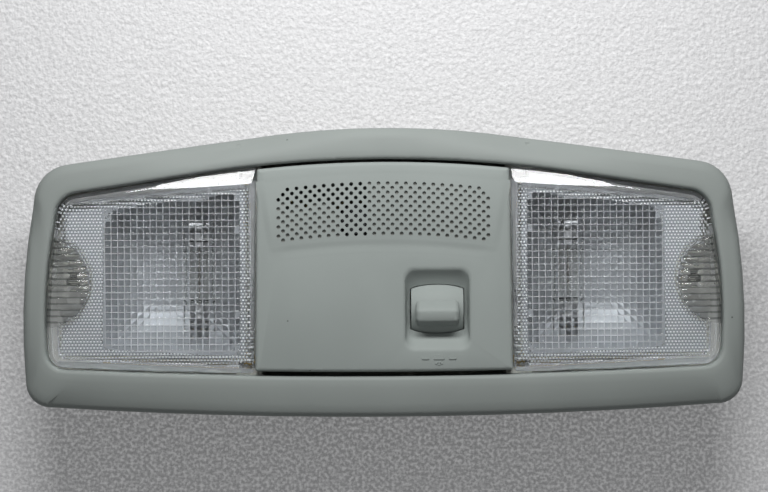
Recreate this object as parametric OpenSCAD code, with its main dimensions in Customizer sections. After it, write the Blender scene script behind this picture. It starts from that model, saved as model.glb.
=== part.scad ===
// Overhead map lamp: a moulded bezel with two push-to-switch lenses, a perforated
// centre panel with a door-light rocker, and the lamp body behind them.
// It lies on its back: X runs along the lamp, Y towards the arched edge and Z out of the face.

/* [Face] */
// Overall width across the bowed ends
face_w = 230.4; // [228:0.4:234]
// Overall height from the lower edge to the crest of the arch
face_h = 92; // [91:0.5:94]
// Height of the face above the tips of the feet
face_z = 38; // [37.5:0.5:40]
// Radius of the long crown of the face
crown_r = 3000; // [2500:100:6000]

/* [Bezel] */
// Height of the rim that meets the roof lining
rim_z = 27; // [26:0.5:28]
// Radius of the outer edge
edge_r = 3; // [2:0.2:3.4]
// Radius of the inner lip
lip_r = 1.2; // [0.8:0.1:1.4]
// Radius of the band's own convex section
band_r = 38; // [30:1:80]
// Wall thickness of the moulding
wall = 2; // [1.6:0.1:2.2]

/* [Lenses] */
// Gap between a lens and the bezel
lens_gap = 0.6; // [0.5:0.05:0.8]
// Thickness of the lens plate
lens_t = 2.2; // [1.8:0.1:2.4]
// Height of a lens above the feet at its inner end
lens_z = 37.4; // [37:0.1:37.6]
// Pitch of the ribs on the finger pad
rib_pitch = 1.97; // [1.8:0.01:2.2]
// Height of the ribs on the finger pad
rib_h = 0.5; // [0.3:0.05:0.6]

/* [Grille] */
// Diameter of the holes
hole_d = 1.2; // [0.9:0.05:1.3]
// Distance between neighbouring columns, and between neighbouring rows
hole_pitch = 1.445; // [1.42:0.005:1.46]
// Radius of the arch that the rows follow
hole_arch_r = 255; // [230:5:300]
// Height of the raised band above the panel
band_rise = 0.5; // [0.3:0.1:0.7]

/* [Door switch] */
// Angle that the rocker leans at rest
rocker_tilt = 9; // [6:1:10]
// Radius of the rocker's drum
drum_r = 10; // [9.9:0.05:10.1]
// Width of the rocker
drum_w = 16.6; // [16:0.2:17]

/* [Hidden] */
$fn = 48;
eps = 0.01;

// Colours
trim_grey = [0.56, 0.6, 0.58];
clear_lens = [0.85, 0.9, 0.92, 0.4];
silver = [0.78, 0.79, 0.8];
body_white = [0.86, 0.86, 0.83];
brass = [0.8, 0.66, 0.36];
steel = [0.66, 0.67, 0.68];
black_rubber = [0.08, 0.08, 0.09];
switch_white = [0.9, 0.9, 0.87];

half_w = face_w / 2;
half_h = face_h / 2;

// Right half of each outline from bottom centre to top centre, as [x, y, corner radius]
face_half = [
    [0, -half_h - 3.47, 1650],
    [half_w - 1, -half_h + 3.9, 8],
    [half_w + 1.3, -6, 240],
    [half_w - 5.3, half_h - 12.25, 12],
    [0, half_h + 3, 312]
];
opening_half = [
    [0, -half_h + 10.6, 2000],
    [half_w - 7.8, -half_h + 15.8, 6],
    [half_w - 6.35, -6, 150],
    [half_w - 11.5, half_h - 20.95, 8],
    [0, half_h - 5.5, 400]
];
// Points round each corner and between corners, the same for every ring of a loft
half_steps = [12, 6, 5, 7, 10];
half_fill = [0, 0, 1, 5];

// Lamp body
floor_z = 9;
floor_t = 2;
floor_top = floor_z + floor_t;
seat_z = 30.5;
body_out = 3;
body_in = 1.2;
partition_x = 40;
partition_t = 1.6;

// Lens hinge and travel
hinge_x = 44;
hinge_z = 27.5;
hinge_pin_r = 1.3;
hinge_play = 0.06;
lug_w = 4.4;
skirt_t = 1.5;
skirt_z = 31;
lens_tilt = 0.0245;
pad_y = -2.5;
pusher_x = 99;
pusher_r = 2.2;
pusher_z = 25;

// Bulb, along Y
bulb_x = 60;
bulb_y = -0.5;
bulb_z = 21.5;
leaf_y = 16;

// Door switch
knob_x = 17;
knob_y = -11.7;
knob_z = 27;
scoop_r = 16.5;
scoop_depth = 6;
scoop_floor = 5.2;
scoop_w = 20.4;
drum_bulge = 1.3;
panel_z = 37.6;
pivot_r = 1.5;

// Fixings
bezel_screws = [[70, -38.2], [-70, -38.2]];
snap_x = 30;
panel_posts = [[-35.5, -24], [35.5, -24]];
roof_screw = [97.5, -20];
roof_screw_r = 2.6;
peg = [80, 24];
clip_x = 66;
clip_y = 26;

// Microphone
mic_at = [-9, 17];
mic_low = floor_top + 13;

// Connector socket
socket = [-20, -18];
socket_in = [21, 8];
socket_wall = 1.5;
socket_tip_z = 1;
pin_tip_z = 5.3;
pin_xs = [-28, -24, -20, -16, -12];

// Vector and outline functions

function unit(v) = v / norm(v);
function flat(p) = [p[0], p[1]];
function mirrored(p) = [-p[0], p[1], p[2]];
function on_line(a, b, x) = a[1] + (b[1] - a[1]) * (x - a[0]) / (b[0] - a[0]);

// The whole outline, counter-clockwise, from its right half
function whole(h) = concat(h, [for (i = [len(h) - 2:-1:1]) mirrored(h[i])]);

// Inward normal of an edge of a counter-clockwise outline
function inward(a, b) = let (u = unit(flat(b) - flat(a))) [-u[1], u[0]];

// Moves every edge inward by d, or outward if d is negative
function inset(p, d) = let (n = len(p)) [
    for (i = [0:n - 1])
    let (
        m = inward(p[(i + n - 1) % n], p[i]),
        k = inward(p[i], p[(i + 1) % n]),
        s = (m + k) / (1 + m * k)
    )
    [p[i][0] + d * s[0], p[i][1] + d * s[1], max(p[i][2] - d, 0.2)]
];

// Points of the arc that rounds corner b between a and c
function corner(a, b, c, steps) = let (
    at = flat(b),
    u = unit(flat(a) - at),
    v = unit(flat(c) - at),
    half = acos(u * v) / 2,
    centre = at + unit(u + v) * b[2] / sin(half),
    first = at + u * b[2] / tan(half) - centre,
    start = atan2(first[1], first[0]),
    sweep = 180 - 2 * half
) [for (i = [0:steps]) centre + b[2] * [cos(start + sweep * i / steps), sin(start + sweep * i / steps)]];

function rounded(p, steps, fill) = let (
    n = len(p),
    arcs = [for (i = [0:n - 1]) corner(p[(i + n - 1) % n], p[i], p[(i + 1) % n], steps[i])]
) [
    for (i = [0:n - 1])
    let (from = arcs[i][steps[i]], to = arcs[(i + 1) % n][0])
    each concat(arcs[i], [for (k = [1:1:fill[i]]) from + (to - from) * k / (fill[i] + 1)])
];

steps_round = concat(half_steps, [for (i = [3:-1:1]) half_steps[i]]);
fill_round = concat(half_fill, [for (i = [3:-1:0]) half_fill[i]]);
function face_ring(d) = rounded(inset(whole(face_half), d), steps_round, fill_round);
function opening_ring(d) = rounded(inset(whole(opening_half), d), steps_round, fill_round);

function crown(x) = x * x / (2 * crown_r);
function at_height(ring, z) = [for (p = ring) [p[0], p[1], z]];
function crowned(ring, z) = [for (p = ring) [p[0], p[1], z - crown(p[0])]];

// Middle stretches of the upper and lower edges of both outlines
opening_peak = half_h - 9.9;
opening_foot = -half_h + 13.2;
function arch_y(x) = opening_peak - x * x / 800;
function sill_y(x) = opening_foot + x * x / 4000;
function upper_face_y(x) = min(on_line(face_half[3], face_half[4], x), half_h - x * x / 624);
function lower_face_y(x) = max(on_line(face_half[1], face_half[0], x), -half_h + x * x / 3300);
function upper_opening_y(x) = min(on_line(opening_half[3], opening_half[4], x), arch_y(x));
function lower_opening_y(x) = max(on_line(opening_half[1], opening_half[0], x), sill_y(x));

// Solid builders

// Walls between rings of equal length, each ring counter-clockwise, from the first to the last
function loft_walls(rings, n, count) = [
    for (r = [0:count - 1])
    for (i = [0:n - 1])
    let (a = r * n, b = ((r + 1) % len(rings)) * n, j = (i + 1) % n)
    [a + i, b + i, b + j, a + j]
];

// A solid with a flat convex cap on its first and last ring
module loft(rings) {
    n = len(rings[0]);
    last = (len(rings) - 1) * n;
    polyhedron(
        points = [for (r = rings) each r],
        faces = concat(
            loft_walls(rings, n, len(rings) - 1),
            [[for (i = [0:n - 1]) i], [for (i = [n - 1:-1:0]) last + i]]
        ),
        convexity = 6
    );
}

// A hoop whose cross-section runs through the rings and closes on the first
module hoop(rings) {
    polyhedron(
        points = [for (r = rings) each r],
        faces = loft_walls(rings, len(rings[0]), len(rings)),
        convexity = 6
    );
}

module slab(outline, low, high) {
    translate([0, 0, low]) linear_extrude(high - low) polygon(outline);
}

module block(low, high) {
    translate(low) cube(high - low);
}

module post(at, low, high, r) {
    translate([at[0], at[1], low]) cylinder(h = high - low, r = r);
}

module along_x(at, length, r) {
    translate(at) rotate([0, 90, 0]) cylinder(h = length, r = r, center = true);
}

module along_y(at, length, r) {
    translate(at) rotate([-90, 0, 0]) cylinder(h = length, r = r);
}

// Turns a profile in [x, y] about the Y axis at a point
module turned_about_y(at, profile) {
    translate(at) rotate([-90, 0, 0]) rotate_extrude() polygon(profile);
}

module both_sides() {
    children();
    mirror([1, 0, 0]) children();
}

// Bezel

// Inner and outer edge of the convex face, point for point
face_inner = opening_ring(-lip_r);
edge_lean = 70;
face_outer = face_ring(edge_r * (1 - cos(edge_lean)));
edge_drop = [for (i = [0:len(face_inner) - 1]) pow(norm(face_outer[i] - face_inner[i]), 2) / (2 * band_r)];

function face_point(f) = [
    for (i = [0:len(face_inner) - 1])
    let (p = face_inner[i] + f * (face_outer[i] - face_inner[i]))
    [p[0], p[1], face_z - f * f * edge_drop[i] - crown(p[0])]
];

// A ring a given distance below the outer edge of the face
function edge_ring(d, below) = let (ring = face_ring(d)) [
    for (i = [0:len(ring) - 1])
    [ring[i][0], ring[i][1], face_z - edge_drop[i] - below - crown(ring[i][0])]
];

module bezel_shell() {
    hoop(concat(
        [at_height(face_ring(0), rim_z)],
        [for (a = [0, 24, 47]) edge_ring(edge_r * (1 - cos(a)), edge_r * (sin(edge_lean) - sin(a)))],
        [for (f = [1, 0.75, 0.5, 0.25, 0]) face_point(f)],
        [for (a = [60, 30, 0]) crowned(opening_ring(-lip_r * (1 - cos(a))), face_z - lip_r * (1 - sin(a)))],
        [at_height(opening_ring(0), seat_z)],
        [at_height(opening_ring(-wall), seat_z)],
        [crowned(opening_ring(-wall), face_z - wall - 0.4)],
        [edge_ring(wall, wall + 0.6)],
        [at_height(face_ring(wall), rim_z)]
    ));
}

// Stiffening webs across the channel behind the band
module bezel_web(x, low_y, high_y) {
    web_t = 1.2;
    block([x - web_t / 2, low_y, seat_z + 0.3], [x + web_t / 2, high_y, face_z - 3.9 - crown(x)]);
}

module bezel_webs() {
    for (side = [-1, 1]) {
        for (x = [16, 46, 92]) bezel_web(side * x, upper_opening_y(x) + 1, upper_face_y(x) - 1.4);
        for (x = [24, 46, 92]) bezel_web(side * x, lower_face_y(x) + 1.4, lower_opening_y(x) - 1);
    }
}

// Strap behind the arch with a window that snaps over a catch of the housing
snap_y = arch_y(snap_x) + body_out;
module snap_strap() {
    difference() {
        block([snap_x - 4, snap_y + 0.9, rim_z], [snap_x + 4, snap_y + 2, face_z - 2.3]);
        block([snap_x - 2.5, snap_y, rim_z + 0.9], [snap_x + 2.5, snap_y + 3, rim_z + 3.2]);
    }
}

module bezel() {
    boss_r = 2.7;
    boss_z = rim_z - 1;
    color(trim_grey) difference() {
        union() {
            bezel_shell();
            bezel_webs();
            both_sides() snap_strap();
            for (p = bezel_screws) post(p, boss_z, face_z - 2.7, boss_r);
        }
        for (p = bezel_screws) post(p, boss_z - 1, boss_z + 5.4, 1.35);
    }
}

// Lenses, built on the right and mirrored for the left

opening_sides = inset(whole(opening_half), lens_gap);
panel_side_top = 40.1;
panel_side_low = 41;

// Both start in the middle of the lower edge, clear of the hinge, and run counter-clockwise
lens_outline = [
    [69, on_line(opening_sides[0], opening_sides[1], 69), 900],
    opening_sides[1],
    opening_sides[2],
    opening_sides[3],
    [52, on_line(opening_sides[4], opening_sides[3], 52), 300],
    [panel_side_top + 0.5, arch_y(40.6) - lens_gap, 1],
    [panel_side_low + 0.5, sill_y(41.5) + lens_gap, 1]
];
// Edge of the flat top: narrow at the ends, with a wedge-shaped shoulder under the arch
lens_flat = [
    [69, lens_outline[0][1] + 1.6, 900],
    [opening_sides[1][0] - 1.7, opening_sides[1][1] + 1.6, 4],
    [opening_sides[2][0] - 1.7, opening_sides[2][1], 130],
    [opening_sides[3][0] - 2, opening_sides[3][1] - 2.6, 6],
    [62, 27.2, 300],
    [panel_side_top + 2.1, 28.4, 1],
    [panel_side_low + 2.1, lens_outline[6][1] + 1.6, 1]
];
lens_steps = [3, 5, 4, 6, 4, 3, 3];
lens_fill = [0, 0, 0, 1, 0, 3, 0];

function sloped(ring, z) = [
    for (p = ring) [p[0], p[1], z - lens_tilt * (p[0] - partition_x) - crown(partition_x)]
];
function between(a, b, f) = [for (i = [0:len(a) - 1]) a[i] + f * (b[i] - a[i])];

module lens_shell() {
    rim = rounded(lens_outline, lens_steps, lens_fill);
    top = rounded(lens_flat, lens_steps, lens_fill);
    inner = rounded(inset(lens_outline, skirt_t), lens_steps, lens_fill);
    shoulder = 2.2;
    loft(concat(
        [sloped(inner, lens_z - lens_t), at_height(inner, skirt_z), at_height(rim, skirt_z)],
        [for (a = [0:22.5:90]) sloped(between(rim, top, 1 - cos(a)), lens_z - shoulder * (1 - sin(a)))]
    ));
}

// The half-moon dish at the outer end that the finger presses, with its ribs
pad_r = 14.3;
pad_centre = [half_w - 6.9, pad_y];
pad_floor = lens_z - 2.3;
module finger_pad_shape(grow) {
    intersection() {
        post(pad_centre, pad_floor - grow, lens_z + 1, pad_r + grow);
        block([half_w - 30, pad_y - 20, pad_floor - grow], [half_w - 11.4 + grow, pad_y + 20, lens_z + 1]);
    }
}

module finger_ribs() {
    intersection() {
        finger_pad_shape(0.4);
        union() for (i = [-6:6])
            translate([half_w - 16, pad_y + i * rib_pitch, pad_floor - 0.35])
                rotate([0, 90 + atan(lens_tilt), 0])
                    cylinder(h = 24, r = rib_h + 0.35, center = true);
    }
}

// Ear of a lens with a rounded foot and a pin that points outwards, +1 or -1 along Y
module hinge_lug(y, outwards) {
    lug_t = 2;
    pin_l = 2.8;
    r = lug_w / 2;
    rise = lens_z - lens_t - hinge_z;
    foot = [for (a = [180:15:360]) r * [cos(a), sin(a)]];
    from = outwards > 0 ? y - lug_t : y;
    translate([hinge_x, from + lug_t, hinge_z]) rotate([90, 0, 0])
        linear_extrude(lug_t) polygon(concat(foot, [[r, rise], [-r, rise]]));
    along_y([hinge_x, outwards > 0 ? y - 1 : y - pin_l, hinge_z], pin_l + 1, hinge_pin_r);
}

// Hooks that hold the outer end of a lens under the bezel, as [outer face, y]
catches = [[half_w - 9, 1], [half_w - 8.2, -14]];
upper_lug_y = arch_y(hinge_x) - 2.2;
lower_lug_y = sill_y(hinge_x) + 2.2;

module lens() {
    color(clear_lens) {
        difference() {
            lens_shell();
            finger_pad_shape(0);
        }
        finger_ribs();
        hinge_lug(upper_lug_y, 1);
        hinge_lug(lower_lug_y, -1);
        post([pusher_x, pad_y], pusher_z, lens_z - lens_t - 1, pusher_r);
        for (c = catches) {
            block([c[0] - 1.5, c[1] - 3, seat_z - 1.6], [c[0], c[1] + 3, skirt_z + 1]);
            block([c[0] - 1.5, c[1] - 3, seat_z - 1.6], [c[0] + 1.4, c[1] + 3, seat_z - 0.3]);
        }
    }
}

// Reflectors

window = [[46, -25.8, 4], [89.6, -24, 5], [88.6, 21, 7], [46, 25.3, 4]];
flange = [[44.2, -27.3, 2], [103.4, -26.4, 2], [101.2, 20.6, 2], [44.2, 28.6, 2]];
flange_z = 29.3;
flange_top = 30.5;
// Bowl section as [inset from the window's edge, height]
bowl = [[0, flange_top + 0.3], [1.6, 25], [4.5, 19.5], [9, 15.8], [14, 14.4]];
bowl_t = 1.1;
function four_corners(p, steps) = rounded(p, [steps, steps, steps, steps], [0, 0, 0, 0]);
function bowl_ring(i, grow, drop) = at_height(
    four_corners(inset(window, bowl[i][0] - grow), 5),
    bowl[i][1] - drop
);

// The thin bowl, up its outside and down its inside
module bowl_shell() {
    last = len(bowl) - 1;
    loft(concat(
        [for (i = [last:-1:1]) bowl_ring(i, bowl_t, bowl_t)],
        [bowl_ring(0, bowl_t, 0)],
        [for (i = [0:last]) bowl_ring(i, 0, 0)]
    ));
}

module reflector() {
    leg_r = 1.3;
    color(silver) difference() {
        union() {
            difference() {
                slab(four_corners(flange, 4), flange_z, flange_top);
                slab(four_corners(inset(window, -bowl_t / 2), 5), flange_z - 1, flange_top + 1);
                post(pad_centre, flange_z - 1, flange_top + 1, pad_r + 0.9);
            }
            bowl_shell();
            for (p = [[45.8, 14], [45.8, -14], [90, 10], [86, -25.4]])
                post(p, floor_top, flange_top - 0.5, leg_r);
        }
        for (y = [bulb_y - leaf_y - 1.6, bulb_y + leaf_y - 1.4])
            block([bulb_x - 3, y, floor_top], [bulb_x + 3, y + 3, bulb_z]);
    }
}

// Festoon bulb, along Y

glass_profile = concat(
    [[2.3, -11.6], [2.9, -11.6], [2.9, -9.9]],
    [for (a = [0:22.5:90]) [2.9 + 1.7 * sin(a), -8.2 - 1.7 * cos(a)]],
    [for (a = [90:-22.5:0]) [2.9 + 1.7 * sin(a), 8.2 + 1.7 * cos(a)]],
    [[2.9, 11.6], [2.3, 11.6], [2.3, 9.9]],
    [for (a = [0:22.5:90]) [2.3 + 1.7 * sin(a), 8.2 + 1.1 * cos(a)]],
    [for (a = [90:-22.5:0]) [2.3 + 1.7 * sin(a), -8.2 - 1.1 * cos(a)]]
);
cap_profile = [
    [0, 12.4], [2.96, 12.4], [2.96, 9.9], [3.5, 9.9], [3.5, 13.2], [3.1, 13.8],
    [1.4, 15.5], [0.95, 15.5], [0.95, 16.4], [0, 16.6]
];

module bulb_glass() {
    color(clear_lens) turned_about_y([bulb_x, bulb_y, bulb_z], glass_profile);
}

module bulb_caps() {
    color(steel) {
        turned_about_y([bulb_x, bulb_y, bulb_z], cap_profile);
        translate([0, 2 * bulb_y, 0]) mirror([0, 1, 0]) turned_about_y([bulb_x, bulb_y, bulb_z], cap_profile);
    }
}

module bulb_filament() {
    color(steel) {
        along_y([bulb_x, bulb_y - 12.4, bulb_z], 24.8, 0.18);
        along_y([bulb_x, bulb_y - 3, bulb_z], 6, 0.55);
    }
}

// Spring leaves that hold the bulb, bent from strip 5 mm wide

leaf_w = 5;
leaf_t = 0.5;
leaf_profile = [
    [3.5, 0], [0, 0], [0, 12.2], [0.9, 14],
    [0.9 + leaf_t, 13.8], [leaf_t, 12], [leaf_t, leaf_t], [3.5, leaf_t]
];
bar_t = 0.8;
bar_top = floor_top + bar_t;

module leaf() {
    difference() {
        translate([bulb_x - leaf_w / 2, leaf_y - 0.5, bar_top])
            rotate([90, 0, 90]) linear_extrude(leaf_w) polygon(leaf_profile);
        along_y([bulb_x, leaf_y - 2, bulb_z], 6, 1.1);
    }
}

module contact(upper) {
    color(brass) translate([0, bulb_y, 0]) {
        if (upper) leaf();
        else mirror([0, 1, 0]) leaf();
    }
}

// Push switches under the finger pads

switch_top = bar_top + 10;
plunger_r = 1.8;
module push_switch() {
    x = pusher_x;
    color(switch_white) difference() {
        union() {
            block([x - 5, pad_y - 5, bar_top], [x + 5, pad_y + 5, switch_top - 1.2]);
            block([x - 4.2, pad_y - 4.2, bar_top], [x + 4.2, pad_y + 4.2, switch_top]);
        }
        post([x, pad_y], bar_top + 3, switch_top + 1, plunger_r + 0.08);
    }
}

module plunger() {
    color(black_rubber) {
        post([pusher_x, pad_y], bar_top + 5.2, pusher_z - 0.1, plunger_r);
    }
}

// Centre panel with grille, scoop and rocker bearings

grille_mid = [0, 20.4];
grille_half_angle = 8.1;
band_profile = concat(
    [[-11.7, -1.4]],
    [[11.7, -1.4]],
    [for (i = [-10:10]) [-i * 1.17, band_rise * (1 - pow(i / 10, 2)) - 0.02]]
);

function panel_outline() = let (
    top = opening_peak - 1.1,
    low = opening_foot + 1.3
) [
    [0, low - pow(panel_side_low, 2) / 4000, 1900],
    [panel_side_low, low + pow(panel_side_low, 2) / 4000, 0.8],
    [panel_side_top, top - pow(panel_side_top, 2) / 800, 0.8],
    [0, top + pow(panel_side_top, 2) / 800, 380],
    [-panel_side_top, top - pow(panel_side_top, 2) / 800, 0.8],
    [-panel_side_low, low + pow(panel_side_low, 2) / 4000, 0.8]
];

function panel_ring(d) = rounded(inset(panel_outline(), d), [6, 3, 3, 10, 3, 3], [0, 0, 0, 0, 0, 0]);

module panel_shell() {
    panel_edge = 1.2;
    difference() {
        loft(concat(
            [at_height(panel_ring(0), skirt_z)],
            [
                for (a = [0:30:90])
                at_height(panel_ring(panel_edge * (1 - cos(a))), panel_z - panel_edge * (1 - sin(a)))
            ]
        ));
        slab(panel_ring(1.5), skirt_z - 1, panel_z - 1.7);
    }
}

// Shallow valley under the band
valley_profile = [[-9.4, 0.3], [-9.4, 0], [-10.4, -0.35], [-14.2, 0], [-14.2, 0.3]];

module along_arch(profile) {
    translate([grille_mid[0], grille_mid[1] - hole_arch_r, panel_z])
        rotate([0, 0, 90 - grille_half_angle])
            rotate_extrude(angle = 2 * grille_half_angle, $fn = 200)
                translate([hole_arch_r, 0]) polygon(profile);
}

// Staggered holes on rows that follow the arch: the end columns are cut back at the corners
module grille_holes() {
    columns = 46;
    rows = 11;
    for (row = [0:rows], column = [row % 2:2:columns]) {
        inside = row > 1 || (column > 1 - row && column < columns - 1 + row);
        x = (column - columns / 2) * hole_pitch;
        y = 28.3 - row * hole_pitch - x * x / (2 * hole_arch_r);
        if (inside) post([x, y], panel_z - 3, panel_z + 2, hole_d / 2);
    }
}

// Finger scoop: rounded rectangles that shrink with depth, as [drop, half width, half length]
scoop_rim_r = 2.2;
function scoop_chord(drop) = sqrt(pow(scoop_r, 2) - pow(scoop_r - scoop_depth + drop, 2));
function scoop_sizes() = let (
    centre_z = scoop_r - scoop_depth,
    reach = sqrt(pow(scoop_r + scoop_rim_r, 2) - pow(centre_z + scoop_rim_r, 2)),
    lean = asin(reach / (scoop_r + scoop_rim_r)),
    rim_drop = scoop_rim_r * (1 - cos(lean))
) concat(
    [for (d = [scoop_floor, 4.4, 3.4, 2.4, 1.5]) [d, scoop_w / 2 - 0.1 * d, scoop_chord(d)]],
    [for (i = [5:-1:0]) let (a = lean * i / 5, d = scoop_rim_r * (1 - cos(a)))
        [d, scoop_w / 2 + 0.8 * pow(1 - d / rim_drop, 2), reach - scoop_rim_r * sin(a)]]
);

function scoop_ring(half, z) = let (r = min(3.4, half[1] - 0.4)) at_height(
    rounded([[-half[0], -half[1], r], [half[0], -half[1], r], [half[0], half[1], r], [-half[0], half[1], r]],
        [6, 6, 6, 6], [0, 0, 0, 0]), z);

module scoop() {
    sizes = scoop_sizes();
    last = sizes[len(sizes) - 1];
    translate([knob_x, knob_y, panel_z]) loft(concat(
        [for (s = sizes) scoop_ring([s[1], s[2]], -s[0])],
        [scoop_ring([last[1], last[2]], 2)]
    ));
}

module rocker_bearings() {
    cheek_x = drum_w / 2 + 0.35;
    for (side = [-1, 1]) {
        x = knob_x + side * (cheek_x + 0.9);
        block([x - 0.9, knob_y - 4, knob_z], [x + 0.9, knob_y + 4, panel_z - 5]);
        along_x([x, knob_y, knob_z], 1.8, 4);
    }
}

module centre_panel() {
    scoop_block = [scoop_w / 2 + 1.5, 14.6];
    color(trim_grey) difference() {
        union() {
            panel_shell();
            along_arch(band_profile);
            block(
                [knob_x - scoop_block[0], knob_y - scoop_block[1], panel_z - scoop_floor - 2],
                [knob_x + scoop_block[0], knob_y + scoop_block[1], panel_z - 1]
            );
            rocker_bearings();
            for (p = panel_posts) post(p, floor_top + 11, panel_z - 1, 2.6);
        }
        grille_holes();
        along_arch(valley_profile);
        scoop();
        translate([knob_x, knob_y, knob_z]) drum(drum_r + 0.35, drum_w + 0.7, drum_bulge);
        along_x([knob_x, knob_y, knob_z], drum_w + 8, pivot_r + 0.05);
        for (p = panel_posts) post(p, floor_top + 10, floor_top + 20, 1.35);
    }
}

// Rocker: a barrel sector with a finger tab, pivot pins and the leg that drives the slider

function drum_side(r, w, bulge) = [
    for (i = [-4:4]) [r - bulge * pow(i / 4, 2), i * w / 8]
];

module drum(r, w, bulge) {
    rotate([0, 90, 0]) rotate_extrude() polygon(concat([[0, -w / 2]], drum_side(r, w, bulge), [[0, w / 2]]));
}

module finger_tab() {
    tab_w = 13.9;
    r = 1.7;
    hull() for (x = [-tab_w / 2 + r, tab_w / 2 - r]) {
        for (y = [-0.9, 0.9]) translate([x, y, drum_r + 3.3 - r]) sphere(r, $fn = 20);
        for (y = [-2.5, 2.5]) translate([x, y, drum_r - 1.6]) sphere(r, $fn = 20);
    }
}

module door_switch_knob() {
    skin = 1.5;
    leg = [4, 1.9, 11];
    sector = [[0, -3], [13, 4], [13, 14], [-13, 14], [-13, 4]];
    color(trim_grey) translate([knob_x, knob_y, knob_z]) rotate([rocker_tilt, 0, 0]) {
        intersection() {
            difference() {
                drum(drum_r, drum_w, drum_bulge);
                drum(drum_r - skin, drum_w - 2 * skin, drum_bulge);
            }
            translate([-drum_w, 0, 0]) rotate([90, 0, 90]) linear_extrude(2 * drum_w) polygon(sector);
        }
        for (side = [-1, 1]) {
            along_x([side * (drum_w / 2 - 1), 0, 0], 1.8, 3.4);
            along_x([side * (drum_w / 2 + 0.9), 0, 0], 2.8, pivot_r);
        }
        along_x([0, 0, 0], drum_w - 1, 1.6);
        block([-leg[0] / 2, -leg[1] / 2, -leg[2]], [leg[0] / 2, leg[1] / 2, 0]);
        finger_tab();
    }
}

slider_shift = 9.3 * sin(rocker_tilt);
slider_low = bar_top + 2.4;
module door_switch_base() {
    color(switch_white) difference() {
        block([knob_x - 6, knob_y - 7.5, bar_top], [knob_x + 6, knob_y + 7.5, bar_top + 6]);
        block([knob_x - 4, knob_y - 6, slider_low - 0.1], [knob_x + 4, knob_y + 6, bar_top + 7]);
    }
}

module door_switch_slider() {
    y = knob_y + slider_shift;
    color(black_rubber) difference() {
        block([knob_x - 3.85, y - 3.6, slider_low], [knob_x + 3.85, y + 3.6, slider_low + 4.4]);
        block([knob_x - 2.4, y - 1.5, slider_low + 1], [knob_x + 2.4, y + 1.5, slider_low + 5]);
    }
}

// Rear housing

module hinge_ear(low_y, high_y) {
    block([hinge_x - 3.4, low_y, floor_top - 1], [hinge_x + 3.4, high_y, seat_z - 0.4]);
}

// Catch that the bezel's strap snaps over
module snap_catch() {
    profile = [[-1, rim_z + 1], [2, rim_z + 1], [2, rim_z + 1.8], [0, rim_z + 3], [-1, rim_z + 3]];
    translate([snap_x - 1.9, snap_y, 0]) rotate([90, 0, 90]) linear_extrude(3.8) polygon(profile);
}

module fixing_ear(p) {
    ear_low = rim_z - 3.5;
    ear_top = rim_z - 1;
    post(p, ear_low, ear_top, 3.3);
    block([p[0] - 3.3, p[1], ear_low], [p[0] + 3.3, p[1] + 6, ear_top]);
}

module socket_shroud() {
    outer = socket_in / 2 + [socket_wall, socket_wall];
    block(
        [socket[0] - outer[0], socket[1] - outer[1], socket_tip_z],
        [socket[0] + outer[0], socket[1] + outer[1], floor_z + eps]
    );
}

// Shelf close behind the right part of the grille, which shows through the holes
module grille_shelf() {
    low = [-3.4, 7.6];
    high = [35.5, 30.6];
    shelf_z = 33.4;
    t = 1.4;
    block([low[0], low[1], shelf_z - t], [high[0], high[1], shelf_z]);
    for (x = [low[0], high[0] - t]) block([x, low[1], floor_top - 1], [x + t, high[1], shelf_z]);
}

module clip_tongue(x, y) {
    block([x - 4.5, y - 1.3, 1.4], [x + 4.5, y + 1.3, floor_z + eps]);
}

module housing_tray() {
    difference() {
        slab(opening_ring(-body_out), floor_z, seat_z);
        slab(opening_ring(-body_in), floor_top, seat_z + 1);
    }
}

module partition() {
    half_t = partition_t / 2;
    block(
        [partition_x - half_t, sill_y(partition_x) - 1.6, floor_top - 1],
        [partition_x + half_t, arch_y(partition_x) + 1.6, 29.5]
    );
}

// Ribs across the back of the floor
module back_ribs() {
    rib_t = 1.4;
    rib_low = floor_z - 2.4;
    for (x = [-50, 50, -88, 88])
        block([x - rib_t / 2, -29, rib_low], [x + rib_t / 2, 26, floor_z + eps]);
    for (y = [-8, 8])
        block([-98, y - rib_t / 2, rib_low], [98, y + rib_t / 2, floor_z + eps]);
}

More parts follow.
